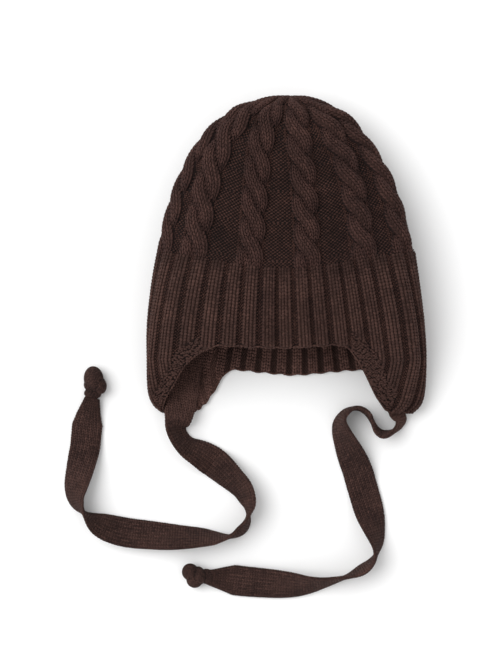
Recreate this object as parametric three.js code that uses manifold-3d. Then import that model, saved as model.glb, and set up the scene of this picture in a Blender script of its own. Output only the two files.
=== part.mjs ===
// Knitted baby hat with two ear flaps and two flat ties, lying on its back on a floor.
// Millimetres, +Z up, +Y towards the top of the crown. The origin is on the floor, under
// the middle of the hat's body. The front of the hat faces up.
import * as THREE from "three";
import Module from "manifold-3d";
import { mergeVertices } from "three/addons/utils/BufferGeometryUtils.js";

// The knitting goes round in ten repeats: a cable, and the purl ground beside it.
// A place round the fabric is its distance w from the middle of the front, to the right.
const REPEATS = 10;
const REPEAT_WIDTH = 42;
const ROUND = REPEATS * REPEAT_WIDTH;
const HALF_ROUND = ROUND / 2;
const FRONT_MIDDLE = 6;
const MIDDLE_EASE = 0.05;

// Crown: two strands twist round each other in every cable, a lobe at each crossing
const CROWN_HEIGHT = 118;
const CROWN_INNER = -0.8;
const CROWN_GROUND = 0.8;
const CABLE_RISE = 3.8;
const CABLE_HALF = 8.7;
const STRAND_HALF = 4.9;
const STRAND_SWING = 4.4;
const STRAND_CROSSING = 0.8;
const LOBE_PITCH = 18.7;
const LOBE_LENGTH = 36;
const LOBE_FOOT = 13.9;
const LOBE_COUNT = 7;
const CROWDED = 0.47;

// Band: forty knit ribs with purl hollows between. The front is drawn wider than the back.
const RIB_COUNT = REPEATS * 4;
const FRONT_RIBS = [
  -96, -83.2, -70.4, -56.4, -43.2, -30.3, -18.3, -5.7, 4.2, 17, 26.9, 39.6, 50.2, 61.5, 73.6,
  89, 101.5,
];
const RIB_RISE = 0.85;
// The front's ribs fan out on their way down: a share of the way, one of its square, the
// way's limit, and the distance from the middle at which the fanning ends
const [FAN, FAN_SQUARE, FAN_LIMIT, FAN_REACH] = [0.08, 0.0011, 70, 140];
const BAND_HALF_WALL = 1;

// Where the crown's first round meets the band, lower in the middle than at the sides
const JOIN_Y = -10.4;
const JOIN_LIFT = 11;
const SEAM_GAP = 0.6;

// How finely the solids are cut
const CABLE_STOPS = [-1, -0.5, 0, 0.5, 1];
const GROUND_STOPS = [0.25, 0.5, 0.75];
const RIB_STOPS = [-0.4, -0.23, 0.23, 0.4];
const RIB_WAVE = [-1, 1, 1, -1];
const CROWN_ROWS = 24;
const CROWN_LINING_ROWS = 8;
const BAND_ROWS = 7;
const BAND_LINING_ROWS = 5;

// Cross sections of the hat as it lies, from the top of the crown to the flaps' tips:
// [y, left edge, right edge, height on top, height of the widest place, height underneath]
const SECTIONS = [
  [101.6, 3.5, 3.5, 27, 27, 27],
  [100.9, -6, 12, 30, 26.5, 22.5],
  [98.8, -14.5, 18.5, 32.5, 26, 18],
  [95.5, -24, 25.5, 35, 25, 13.5],
  [90.5, -34, 34.5, 38, 24, 9],
  [82, -45.5, 44.8, 41.5, 23, 5.2],
  [71.5, -55.5, 53.2, 44.5, 22.5, 2.9],
  [59.5, -63, 61.8, 47, 22.5, 2],
  [45, -70, 69.4, 49, 23, 1.8],
  [30, -75.3, 75, 51, 24, 1.8],
  [15, -79, 78.8, 54, 25.5, 1.8],
  [0, -82.2, 81.6, 58, 27, 1.8],
  [-12, -84.4, 83.4, 61, 28, 1.8],
  [-26, -86.4, 85.4, 62, 28, 1.8],
  [-46, -88.6, 88, 57, 25.5, 1.8],
  [-69, -89.3, 89.4, 43.4, 19, 1.8],
  [-88.4, -89.3, 89.1, 26, 12.5, 1.8],
  [-97.5, -86.5, 87, 19.5, 10, 1.8],
  [-103.4, -80, 81.2, 16, 8.5, 1.8],
];
const [SECTION_Y, SECTION_LEFT, SECTION_RIGHT, SECTION_TOP, SECTION_WIDEST, SECTION_UNDER] =
  [0, 1, 2, 3, 4, 5];
const TOP_ROUNDNESS = 2.15;
const UNDER_ROUNDNESS = 4.6;
const LAST_SECTION = SECTIONS.length - 1;

// Lower edge of the band, all round from the middle of the back: [w, y]. The flaps' tips
// are near the hat's left and right edges, with a slanting edge on either side of each.
const RIM = [
  [-222, -78.4],
  [-210, -79],
  [-186, -77.2],
  [-168, -75.6],
  [-161, -76.6],
  [-157, -80],
  [-149.5, -89.3],
  [-143, -95.5],
  [-135.5, -99.9],
  [-126.5, -102.8],
  [-116, -103.5],
  [-102, -103.2],
  [-95, -100.8],
  [-90, -97.2],
  [-84, -91],
  [-78, -84.6],
  [-72.3, -77.2],
  [-66.5, -71.2],
  [-59.5, -65.9],
  [-52, -62],
  [-43, -60.4],
  [0, -61.8],
  [42, -60],
  [49, -60.8],
  [58.4, -70],
  [66.5, -80.5],
  [77, -93.8],
  [86, -100.4],
  [95, -103.2],
  [118, -103.5],
  [127, -102.7],
  [134, -100],
  [142, -93.8],
  [149, -86.5],
  [153, -80.5],
  [157, -76.8],
  [164, -75.6],
  [186, -77.2],
  [210, -79],
  [222, -78.4],
];

// Ties: flat knitted straps, the upper end sewn to the inside of a flap, a knot at the other
const TIE_WIDTH = 20;
const TIE_THICKNESS = 3;
const TIE_STEPS = 42;
const TIE_NECK_WIDTH = 9;
const TIE_NECK_THICKNESS = 6;
const TIE_GATHER = 0.06;
const TIE_CORNER = 0.7;
const FLOOR_CLEARANCE = 0.2;
// Where a tie is folded narrow on its way out of its flap: lengths at which the fold begins, is
// full, begins to open and is open
const FOLDED_WIDTH = 10;
const FOLDED_THICKNESS = 3.6;
const TIE_RIGHT_FOLD = [10, 28, 42, 58];

// Route of a tie's middle line: [x, y, height of what it lies on, roll in degrees].
// At a roll of 0 or 180 it lies flat, and at 90 it stands on its edge.
const TIE_LEFT_ROUTE = [
  [-63.8, -61.5, 5.8, 3],
  [-65, -70, 5.8, 3],
  [-67.4, -84.5, 5.8, 5],
  [-69.2, -98, 6.4, 8],
  [-70.6, -107, 7, 6],
  [-72.6, -113.6, 0, -22],
  [-70.8, -120, 0, -42],
  [-65.2, -126.6, 0, -35],
  [-55.4, -131.4, 0, -10],
  [-45.5, -138.3, 0, -18],
  [-35.5, -147.4, 0, -33],
  [-28.7, -154.4, 0, -45],
  [-24.8, -163.3, 0, -62],
  [-24.6, -169.8, 0, -85],
  [-26, -176.4, 0, -102],
  [-29.6, -181.4, 0, -108],
  [-35.5, -185, 0, -98],
  [-46.7, -186.3, 0, -72],
  [-55.7, -186.1, 0, -58],
  [-66.5, -186.1, 0, -47],
  [-77.1, -185.8, 0, -37],
  [-89.7, -184.8, 0, -28],
  [-104.3, -183.3, 0, -22],
  [-114.8, -180.8, 0, -30],
  [-123.9, -176.9, 0, -50],
  [-131.3, -171.5, 0, -85],
  [-136.3, -165.9, 0, -112],
  [-138.7, -159.4, 0, -128],
  [-138.5, -152.3, 0, -142],
  [-135.7, -139.9, 0, -158],
  [-132.9, -126.8, 0, -175],
  [-131.9, -116.9, 0, -180],
  [-130.7, -107.3, 0, -180],
  [-129, -99.1, 0.6, -180],
  [-127.6, -92.6, 1.6, -180],
];
const TIE_RIGHT_ROUTE = [
  [65, -70, 5.8, -183],
  [67.5, -84.5, 5.8, -184],
  [70.8, -95, 5.4, -183],
  [72.5, -103, 5.6, -179],
  [75.6, -108, 2.5, -142],
  [75, -112, 0.4, -114],
  [71.8, -115.6, 0, -96],
  [67.4, -117.6, 0, -84],
  [63.4, -117.9, 0, -79.5],
  [59.8, -115.4, 0, -80.5],
  [57.1, -110.3, 0, -88],
  [54, -104.7, 0, -95],
  [49.4, -101.4, 0, -95],
  [44.8, -101, 0, -93],
  [40.4, -102.8, 0, -85],
  [36.9, -106.6, 0, -78],
  [35.7, -111.3, 0, -66],
  [36.6, -116.6, 0, -55],
  [38.7, -122.2, 0, -46],
  [42.7, -131.3, 0, -28],
  [47.1, -141.7, 0, -12],
  [50.4, -152.7, 0, 0],
  [54.6, -167.4, 0, 14],
  [58.3, -180.3, 0, 43],
  [60.2, -190.1, 0, 66],
  [58.9, -198.1, 0, 86],
  [55.3, -203.4, 0, 97],
  [49.4, -207.7, 0, 101],
  [41.2, -211.5, 0, 88],
  [34.3, -213.6, 0, 78],
  [24.4, -216, 0, 66],
  [14.6, -217.5, 0, 50],
  [5.4, -217.7, 0, 33],
  [-4.8, -217.3, 0, 20],
  [-15.7, -216.6, 0, 12],
  [-28.3, -215.6, 0, 5],
  [-39.6, -214.3, 0, 0],
  [-47.5, -213.4, 0.6, 0],
  [-52.6, -212.6, 1.6, 0],
];

// Knots: each is fused from rounded lumps, [x, y, z, half length, half width, half height,
// turn in degrees]. The first lump is the wrap that the strap goes through.
const KNOT_LEFT = [
  [-125, -84.6, 6.6, 5.2, 8, 6.4, -14],
  [-121.2, -82.6, 6.4, 4.4, 6.6, 5.6, 12],
  [-127.6, -77.4, 5.2, 4.4, 6.2, 4.6, -30],
];
const KNOT_RIGHT = [
  [-58.7, -211.8, 6.8, 5.6, 7.2, 6.6, 8],
  [-63.4, -214.4, 6, 5, 5.2, 5.6, 30],
  [-63.6, -208.6, 5.8, 4.8, 5.2, 5.4, -30],
];
const LUMP_SEGMENTS = 10;
const LUMP_RINGS = 7;

// Finishes
const CROWN_YARN = { color: 0x3a2622, roughness: 0.95, metalness: 0 };
const BAND_YARN = { color: 0x3e2925, roughness: 0.95, metalness: 0 };
const TIE_YARN = { color: 0x432c27, roughness: 0.92, metalness: 0 };

// Smooth curve through knots, read at x. Slopes come from each knot's two neighbours.
function smooth(knots, values, x) {
  const last = knots.length - 1;
  let i = 0;
  while (i < last - 1 && x > knots[i + 1]) {
    i += 1;
  }
  const slope = (k) => {
    const a = Math.max(k - 1, 0);
    const b = Math.min(k + 1, last);
    return (values[b] - values[a]) / (knots[b] - knots[a]);
  };
  const span = knots[i + 1] - knots[i];
  const t = Math.min(Math.max((x - knots[i]) / span, 0), 1);
  const t2 = t * t;
  const t3 = t2 * t;
  return (2 * t3 - 3 * t2 + 1) * values[i] + (t3 - 2 * t2 + t) * span * slope(i)
    + (3 * t2 - 2 * t3) * values[i + 1] + (t3 - t2) * span * slope(i + 1);
}

const columnOf = (table, column) => table.map((row) => row[column]);
const sectionKnots = SECTIONS.map((row, index) => index);
const sectionColumns = SECTIONS[0].map((value, column) => columnOf(SECTIONS, column));
const sectionValue = (column, row) => smooth(sectionKnots, sectionColumns[column], row);
const rimKnots = columnOf(RIM, 0);
const rimValues = columnOf(RIM, 1);

// Row of the table, whole or between two, at which the section has this y
function rowAt(y) {
  let low = 0;
  let high = LAST_SECTION;
  for (let step = 0; step < 30; step += 1) {
    const middle = (low + high) / 2;
    if (sectionValue(SECTION_Y, middle) > y) {
      low = middle;
    } else {
      high = middle;
    }
  }
  return (low + high) / 2;
}

// Point of a rounded half section at a share of its length, from its middle (0) to its end (1)
const QUARTER_SAMPLES = 120;
function quarterPoint(halfWidth, halfHeight, roundness, share) {
  const power = 2 / roundness;
  const at = (k) => {
    const angle = (Math.PI / 2) * (k / QUARTER_SAMPLES);
    return [halfWidth * Math.sin(angle) ** power, halfHeight * Math.max(Math.cos(angle), 0) ** power];
  };
  const points = Array.from({ length: QUARTER_SAMPLES + 1 }, (unused, k) => at(k));
  const lengths = [0];
  for (let k = 1; k <= QUARTER_SAMPLES; k += 1) {
    const dx = points[k][0] - points[k - 1][0];
    const dz = points[k][1] - points[k - 1][1];
    lengths.push(lengths[k - 1] + Math.hypot(dx, dz));
  }
  const target = Math.min(Math.max(share, 0), 1) * lengths[QUARTER_SAMPLES];
  let k = 1;
  while (k < QUARTER_SAMPLES && lengths[k] < target) {
    k += 1;
  }
  const t = (target - lengths[k - 1]) / Math.max(lengths[k] - lengths[k - 1], 1e-9);
  return [0, 1].map((axis) => points[k - 1][axis] + t * (points[k][axis] - points[k - 1][axis]));
}

// Which half of the section w is on, and how far along it: u goes from -0.5 to 0.5
function halfOf(w) {
  const turn = ((((w - FRONT_MIDDLE) / ROUND + 0.25) % 1) + 1) % 1;
  return turn < 0.5 ? { upper: true, u: turn * 2 - 0.5 } : { upper: false, u: 0.5 - (turn - 0.5) * 2 };
}

// Point of the fabric's middle surface
function surfacePoint(row, w) {
  const { upper, u } = halfOf(w);
  const left = sectionValue(SECTION_LEFT, row);
  const right = sectionValue(SECTION_RIGHT, row);
  const widest = sectionValue(SECTION_WIDEST, row);
  const edge = sectionValue(upper ? SECTION_TOP : SECTION_UNDER, row);
  const eased = u * (1 - MIDDLE_EASE * (1 - 4 * u * u));
  const roundness = upper ? TOP_ROUNDNESS : UNDER_ROUNDNESS;
  const [across, up] = quarterPoint((right - left) / 2, Math.abs(edge - widest), roundness, Math.abs(eased) * 2);
  const x = (left + right) / 2 + Math.sign(eased) * across;
  return new THREE.Vector3(x, sectionValue(SECTION_Y, row), widest + Math.sign(edge - widest) * up);
}

// Direction out of the hat at a place of the fabric
const NORMAL_STEP_W = 1.5;
const NORMAL_STEP_ROW = 0.08;
function outwardAt(row, w) {
  const high = Math.max(row - NORMAL_STEP_ROW, 0.02);
  const low = Math.min(row + NORMAL_STEP_ROW, LAST_SECTION);
  const down = surfacePoint(low, w).sub(surfacePoint(high, w));
  const around = surfacePoint(Math.max(row, 0.1), w + NORMAL_STEP_W)
    .sub(surfacePoint(Math.max(row, 0.1), w - NORMAL_STEP_W));
  return down.cross(around).normalize();
}

// Place of the fabric raised by height out of the hat, pressed flat where it meets the floor
function fabricPoint(row, w, height) {
  const point = surfacePoint(row, w).addScaledVector(outwardAt(row, w), height);
  point.z = Math.max(point.z, 0);
  return point;
}

// y of the round where the crown meets the band
function joinY(w) {
  const { u } = halfOf(w);
  return JOIN_Y + (JOIN_LIFT * (1 - Math.cos(2 * Math.PI * u))) / 2;
}

// Height of a cable above the ground, across from its middle and along it from the band
function cableHeight(across, along) {
  let height = 0;
  for (let lobe = -2; lobe < LOBE_COUNT; lobe += 1) {
    const share = (along - LOBE_FOOT - lobe * LOBE_PITCH) / LOBE_LENGTH;
    if (share > 0 && share < 1) {
      const turn = Math.min(Math.max((share - 0.5) / STRAND_CROSSING + 0.5, 0), 1);
      const axis = STRAND_SWING * Math.cos(Math.PI * turn);
      const off = (across - axis) / STRAND_HALF;
      const round = Math.sqrt(Math.max(1 - off * off, 0));
      height = Math.max(height, CABLE_RISE * Math.sqrt(Math.sin(Math.PI * share)) * round);
    }
  }
  return height;
}

// How far a rib has moved round the fabric, away from the middle, on its way down the band
function fanned(w, down) {
  const way = Math.min(Math.max(down, 0), FAN_LIMIT);
  const turn = Math.min(Math.max(w / FAN_REACH, -1), 1);
  return (FAN * way + FAN_SQUARE * way * way) * Math.sin(Math.PI * turn);
}

// Places round the top of the band where its fabric is cut, and the rib's height there
function bandStops() {
  const last = FRONT_RIBS[FRONT_RIBS.length - 1];
  const backCount = RIB_COUNT - FRONT_RIBS.length;
  const gap = (FRONT_RIBS[0] + ROUND - last) / (backCount + 1);
  const middles = [...FRONT_RIBS, ...Array.from({ length: backCount }, (unused, k) => last + (k + 1) * gap)];
  return middles.flatMap((middle, k) => {
    const before = k > 0 ? middle - middles[k - 1] : gap;
    const after = k + 1 < RIB_COUNT ? middles[k + 1] - middle : gap;
    return RIB_STOPS.map((stop, index) => {
      const w = middle + stop * (stop < 0 ? before : after);
      return { w: w > HALF_ROUND ? w - ROUND : w, wave: RIB_RISE * RIB_WAVE[index] };
    });
  });
}

// One closed body from two stacks of rings: outside from top to bottom, lining back up.
// Rings are lists of points of equal length. A first or last ring may be a single point.
function closedBody(rings, material, name) {
  const positions = [];
  const starts = [];
  for (const ring of rings) {
    starts.push(positions.length / 3);
    for (const point of ring) {
      positions.push(point.x, point.y, point.z);
    }
  }
  const faces = [];
  for (let r = 0; r + 1 < rings.length; r += 1) {
    const a = rings[r].length;
    const b = rings[r + 1].length;
    const count = Math.max(a, b);
    for (let k = 0; k < count; k += 1) {
      const next = (k + 1) % count;
      const upperA = starts[r] + (a > 1 ? k : 0);
      const upperB = starts[r] + (a > 1 ? next : 0);
      const lowerA = starts[r + 1] + (b > 1 ? k : 0);
      const lowerB = starts[r + 1] + (b > 1 ? next : 0);
      if (b > 1) {
        faces.push(upperA, lowerA, lowerB);
      }
      if (a > 1) {
        faces.push(upperA, lowerB, upperB);
      }
    }
  }
  const geometry = new THREE.BufferGeometry();
  geometry.setAttribute("position", new THREE.Float32BufferAttribute(positions, 3));
  geometry.setIndex(faces);
  geometry.computeVertexNormals();
  const mesh = new THREE.Mesh(geometry, new THREE.MeshStandardMaterial(material));
  mesh.name = name;
  return mesh;
}

// Rows of the table down one line of the crown's fabric, evenly spaced by length
const MERIDIAN_SAMPLES = 60;
function crownRows(w, shares) {
  const foot = rowAt(joinY(w) + SEAM_GAP / 2);
  const rows = Array.from({ length: MERIDIAN_SAMPLES + 1 }, (unused, k) => (foot * k) / MERIDIAN_SAMPLES);
  const lengths = [0];
  let previous = surfacePoint(0, w);
  for (const row of rows.slice(1)) {
    const point = surfacePoint(row, w);
    lengths.push(lengths[lengths.length - 1] + point.distanceTo(previous));
    previous = point;
  }
  const total = lengths[lengths.length - 1];
  return shares.map((share) => {
    let k = 1;
    while (k < MERIDIAN_SAMPLES && lengths[k] < share * total) {
      k += 1;
    }
    const t = (share * total - lengths[k - 1]) / (lengths[k] - lengths[k - 1]);
    return rows[k - 1] + t * (rows[k] - rows[k - 1]);
  });
}

// Width of a repeat at a place of the fabric, as it is stretched or drawn together there
function repeatWidth(row, w) {
  const step = 4;
  return (surfacePoint(row, w + step).distanceTo(surfacePoint(row, w - step)) / (2 * step)) * REPEAT_WIDTH;
}

// Places round the crown where its fabric is cut: across each cable, and the ground between
function crownStops() {
  const stops = [];
  for (let k = 0; k < REPEATS; k += 1) {
    const cable = -HALF_ROUND + (k + 0.5) * REPEAT_WIDTH;
    CABLE_STOPS.forEach((share) => stops.push({ cable, share, ground: 0 }));
    GROUND_STOPS.forEach((ground) => stops.push({ cable, share: 1, ground }));
  }
  return stops;
}

// Point of the crown: share counts down from the top, stop says where round the fabric
function crownPoint(stop, share, outside) {
  const [row] = crownRows(stop.cable, [share]);
  const scale = repeatWidth(Math.max(row, 0.3), stop.cable) / REPEAT_WIDTH;
  const half = Math.min(CABLE_HALF / scale, CROWDED * REPEAT_WIDTH);
  const groundWidth = REPEAT_WIDTH - 2 * half;
  const w = stop.cable + stop.share * half + stop.ground * groundWidth;
  const [ownRow] = crownRows(w, [share]);
  if (!outside) {
    return fabricPoint(ownRow, w, CROWN_INNER);
  }
  const crowding = (half * scale) / CABLE_HALF;
  const across = stop.ground > 0 ? Infinity : stop.share * CABLE_HALF;
  const along = (1 - share) * CROWN_HEIGHT;
  return fabricPoint(ownRow, w, CROWN_GROUND + crowding * cableHeight(across, along));
}

function buildCrown() {
  const stops = crownStops();
  const rings = [];
  rings.push([fabricPoint(0, FRONT_MIDDLE, 0).add(new THREE.Vector3(0, CROWN_GROUND + 1, 0))]);
  for (let r = 1; r <= CROWN_ROWS; r += 1) {
    rings.push(stops.map((stop) => crownPoint(stop, r / CROWN_ROWS, true)));
  }
  for (let r = CROWN_LINING_ROWS; r >= 1; r -= 1) {
    rings.push(stops.map((stop) => crownPoint(stop, r / CROWN_LINING_ROWS, false)));
  }
  rings.push([fabricPoint(0, FRONT_MIDDLE, 0).add(new THREE.Vector3(0, CROWN_INNER, 0))]);
  return closedBody(rings, CROWN_YARN, "crown");
}

// y of the band's lower edge
function rimY(w) {
  const wrapped = ((((w + HALF_ROUND) % ROUND) + ROUND) % ROUND) - HALF_ROUND;
  return smooth(rimKnots, rimValues, wrapped);
}

// The band and both ear flaps, knitted in one
function buildBand() {
  const stops = bandStops();
  const ring = (share, side) => stops.map(({ w, wave }) => {
    const top = joinY(w) - SEAM_GAP / 2;
    let foot = w;
    for (let turn = 0; turn < 4; turn += 1) {
      foot = w + fanned(w, joinY(w) - rimY(foot));
    }
    const y = top + share * (rimY(foot) - top);
    return fabricPoint(rowAt(y), w + fanned(w, joinY(w) - y), wave + side * BAND_HALF_WALL);
  });
  const rings = [];
  for (let r = 0; r <= BAND_ROWS; r += 1) {
    rings.push(ring(r / BAND_ROWS, 1));
  }
  for (let r = BAND_LINING_ROWS; r >= 0; r -= 1) {
    rings.push(ring(r / BAND_LINING_ROWS, -1));
  }
  rings.push(rings[0]);
  return closedBody(rings, BAND_YARN, "ribbed_band");
}

// Corners of a strap's section: a flat bar with its corners cut
function strapCorners(width, thickness) {
  const a = width / 2;
  const b = thickness / 2;
  const c = a - TIE_CORNER * thickness;
  const d = b * 0.4;
  return [[c, -b], [-c, -b], [-a, -d], [-a, d], [-c, b], [c, b], [a, d], [a, -d]];
}

// 0 up to low, 1 from high on, and smooth between them
const ramp = (x, low, high) => THREE.MathUtils.smoothstep(x, low, high);

// A strap swept along its route, standing or lying on what is under it as its roll says
function buildTie(route, name, fold) {
  const knots = [0];
  for (let k = 1; k < route.length; k += 1) {
    knots.push(knots[k - 1] + Math.hypot(route[k][0] - route[k - 1][0], route[k][1] - route[k - 1][1]));
  }
  const length = knots[knots.length - 1];
  const columns = [0, 1, 2, 3].map((column) => columnOf(route, column));
  const read = (column, at) => smooth(knots, columns[column], at);
  const rings = [];
  for (let step = 0; step <= TIE_STEPS; step += 1) {
    const at = (length * step) / TIE_STEPS;
    const gather = Math.min(Math.max((step / TIE_STEPS - 1 + TIE_GATHER) / TIE_GATHER, 0), 1);
    const folded = fold ? ramp(at, fold[0], fold[1]) - ramp(at, fold[2], fold[3]) : 0;
    const width = TIE_WIDTH + gather * (TIE_NECK_WIDTH - TIE_WIDTH)
      + folded * (FOLDED_WIDTH - TIE_WIDTH);
    const thickness = TIE_THICKNESS + gather * (TIE_NECK_THICKNESS - TIE_THICKNESS)
      + folded * (FOLDED_THICKNESS - TIE_THICKNESS);
    const roll = THREE.MathUtils.degToRad(read(3, at));
    const reach = (width / 2) * Math.abs(Math.sin(roll)) + (thickness / 2) * Math.abs(Math.cos(roll));
    const centre = new THREE.Vector3(read(0, at), read(1, at), read(2, at) + reach + FLOOR_CLEARANCE);
    const dx = read(0, Math.min(at + 1, length)) - read(0, Math.max(at - 1, 0));
    const dy = read(1, Math.min(at + 1, length)) - read(1, Math.max(at - 1, 0));
    const leftward = new THREE.Vector3(-dy, dx, 0).normalize();
    const across = leftward.clone().multiplyScalar(Math.cos(roll)).setZ(-Math.sin(roll));
    const face = leftward.clone().multiplyScalar(Math.sin(roll)).setZ(Math.cos(roll));
    rings.push(strapCorners(width, thickness).map(([a, b]) => {
      return centre.clone().addScaledVector(across, a).addScaledVector(face, b);
    }));
  }
  const middleOf = (ring) => ring.reduce((sum, point) => sum.add(point), new THREE.Vector3())
    .divideScalar(ring.length);
  rings.unshift([middleOf(rings[0])]);
  rings.push([middleOf(rings[rings.length - 1])]);
  return closedBody(rings, TIE_YARN, name);
}

const wasm = await Module();
wasm.setup();

// Solid of a closed mesh, for joining
function solidOf(geometry) {
  const bare = new THREE.BufferGeometry();
  bare.setAttribute("position", geometry.getAttribute("position"));
  bare.setIndex(geometry.getIndex());
  const merged = mergeVertices(bare, 1e-4);
  const vertProperties = new Float32Array(merged.getAttribute("position").array);
  const triVerts = new Uint32Array(merged.getIndex().array);
  return new wasm.Manifold(new wasm.Mesh({ numProp: 3, vertProperties, triVerts }));
}

// A knot: its lumps fused into one body
function buildKnot(lumps, name) {
  let knot = null;
  for (const [x, y, z, halfLength, halfWidth, halfHeight, turn] of lumps) {
    const lump = new THREE.SphereGeometry(1, LUMP_SEGMENTS, LUMP_RINGS);
    lump.scale(halfLength, halfWidth, halfHeight);
    lump.rotateZ(THREE.MathUtils.degToRad(turn));
    lump.translate(x, y, z);
    const solid = solidOf(lump);
    knot = knot ? knot.add(solid) : solid;
  }
  const joined = knot.getMesh();
  const geometry = new THREE.BufferGeometry();
  geometry.setAttribute("position", new THREE.Float32BufferAttribute(joined.vertProperties, 3));
  geometry.setIndex(Array.from(joined.triVerts));
  geometry.computeVertexNormals();
  const mesh = new THREE.Mesh(geometry, new THREE.MeshStandardMaterial(TIE_YARN));
  mesh.name = name;
  return mesh;
}

const hat = new THREE.Group();
hat.add(buildCrown());
hat.add(buildBand());
hat.add(buildTie(TIE_LEFT_ROUTE, "tie_left"));
hat.add(buildTie(TIE_RIGHT_ROUTE, "tie_right", TIE_RIGHT_FOLD));
hat.add(buildKnot(KNOT_LEFT, "knot_left"));
hat.add(buildKnot(KNOT_RIGHT, "knot_right"));

export default hat;
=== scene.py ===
import math

import bpy
import numpy as np
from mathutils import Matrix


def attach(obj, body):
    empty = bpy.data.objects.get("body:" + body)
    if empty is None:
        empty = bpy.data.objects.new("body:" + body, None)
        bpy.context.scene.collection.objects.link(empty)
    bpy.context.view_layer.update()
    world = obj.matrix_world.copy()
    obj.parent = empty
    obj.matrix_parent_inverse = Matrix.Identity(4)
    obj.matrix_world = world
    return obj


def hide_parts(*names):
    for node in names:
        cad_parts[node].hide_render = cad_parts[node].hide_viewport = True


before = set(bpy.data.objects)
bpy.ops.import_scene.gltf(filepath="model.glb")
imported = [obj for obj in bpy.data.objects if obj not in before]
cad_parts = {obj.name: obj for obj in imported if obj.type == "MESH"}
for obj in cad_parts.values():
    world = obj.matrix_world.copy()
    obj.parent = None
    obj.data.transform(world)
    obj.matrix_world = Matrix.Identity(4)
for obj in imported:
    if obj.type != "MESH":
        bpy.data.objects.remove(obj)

bpy.ops.object.select_all(action="DESELECT")
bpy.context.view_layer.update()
MM = 0.001

# CAMERA: straight above the hat, as the photograph was taken. Its up is +Y.
CAMERA_X = -23.7
CAMERA_Y = -51.7
CAMERA_HEIGHT = 1500
CAMERA_LENS = 122.1
CAMERA_SENSOR = 36
CAMERA_SEES = (0.05, 20)


def make_camera():
    data = bpy.data.cameras.new("camera")
    data.lens = CAMERA_LENS
    data.sensor_width = CAMERA_SENSOR
    data.clip_start, data.clip_end = CAMERA_SEES
    camera = bpy.data.objects.new("camera", data)
    camera.location = (CAMERA_X * MM, CAMERA_Y * MM, CAMERA_HEIGHT * MM)
    bpy.context.scene.collection.objects.link(camera)
    bpy.context.scene.camera = camera


make_camera()

# The ties are flat straps 20 mm wide that draw together at the knot
TIE_WIDTH = 20
TIE_THICKNESS = 3
TIE_NECK_WIDTH = 9
TIE_NECK_THICKNESS = 6
TIE_GATHER = 0.06
FLOOR_CLEARANCE = 0.2
# Where a tie is folded narrow: lengths at which the fold begins, is full, opens and is open
FOLDED_WIDTH = 10
FOLDED_THICKNESS = 3.6
TIE_RIGHT_FOLD = [10, 28, 42, 58]
# The ties' lengths along their middle lines, in metres, with the stretches sewn to the flaps
TIE_LEFT_LENGTH = 0.338
TIE_RIGHT_LENGTH = 0.311
# The two ties' routes, from the part's source: [x, y, height of what is under it, roll]. The
# left one's roll after the flap is its own, for the fold that shows there.
TIE_LEFT_ROUTE = [
    [-63.8, -61.5, 5.8, 3], [-65, -70, 5.8, 3], [-67.4, -84.5, 5.8, 5],
    [-69.2, -98, 6.4, 8], [-70.8, -107, 6.6, 27],
    [-72.4, -113.6, 0, 50], [-70.4, -120, 0, 56], [-65, -126.4, 0, 50],
    [-55.4, -131.8, 0, 26], [-45.5, -138.6, 0, -8], [-35.5, -147.4, 0, -33],
    [-28.7, -154.4, 0, -45], [-24.8, -163.3, 0, -62], [-24.6, -169.8, 0, -85],
    [-26, -176.4, 0, -102], [-29.6, -181.4, 0, -108], [-35.5, -185, 0, -98],
    [-46.7, -186.3, 0, -72], [-55.7, -186.1, 0, -58], [-66.5, -186.1, 0, -47],
    [-77.1, -185.8, 0, -37], [-89.7, -184.8, 0, -28], [-104.3, -183.3, 0, -22],
    [-114.8, -180.8, 0, -30], [-123.9, -176.9, 0, -50], [-131.3, -171.5, 0, -85],
    [-136.3, -165.9, 0, -112], [-138.7, -159.4, 0, -128], [-138.5, -152.3, 0, -142],
    [-135.7, -139.9, 0, -158], [-132.9, -126.8, 0, -175], [-131.9, -116.9, 0, -180],
    [-130.7, -107.3, 0, -180], [-129, -99.1, 0.6, -180], [-127.6, -92.6, 1.6, -180],
]
TIE_RIGHT_ROUTE = [
    [65, -70, 5.8, -183], [67.5, -84.5, 5.8, -184], [70.8, -95, 5.4, -183],
    [72.5, -103, 5.6, -179], [75.6, -108, 2.5, -142], [75, -112, 0.4, -114],
    [71.8, -115.6, 0, -96], [67.4, -117.6, 0, -84], [63.4, -117.9, 0, -79.5],
    [59.8, -115.4, 0, -80.5], [57.1, -110.3, 0, -88], [54, -104.7, 0, -95], [49.4, -101.4, 0, -95],
    [44.8, -101, 0, -93], [40.4, -102.8, 0, -85], [36.9, -106.6, 0, -78],
    [35.7, -111.3, 0, -66], [36.6, -116.6, 0, -55], [38.7, -122.2, 0, -46],
    [42.7, -131.3, 0, -28], [47.1, -141.7, 0, -12], [50.4, -152.7, 0, 0],
    [54.6, -167.4, 0, 14], [58.3, -180.3, 0, 43], [60.2, -190.1, 0, 66],
    [58.9, -198.1, 0, 86], [55.3, -203.4, 0, 97], [49.4, -207.7, 0, 101],
    [41.2, -211.5, 0, 88], [34.3, -213.6, 0, 78], [24.4, -216, 0, 66],
    [14.6, -217.5, 0, 50], [5.4, -217.7, 0, 33], [-4.8, -217.3, 0, 20],
    [-15.7, -216.6, 0, 12], [-28.3, -215.6, 0, 5], [-39.6, -214.3, 0, 0],
    [-47.5, -213.4, 0.6, 0], [-52.6, -212.6, 1.6, 0],
]


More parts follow.
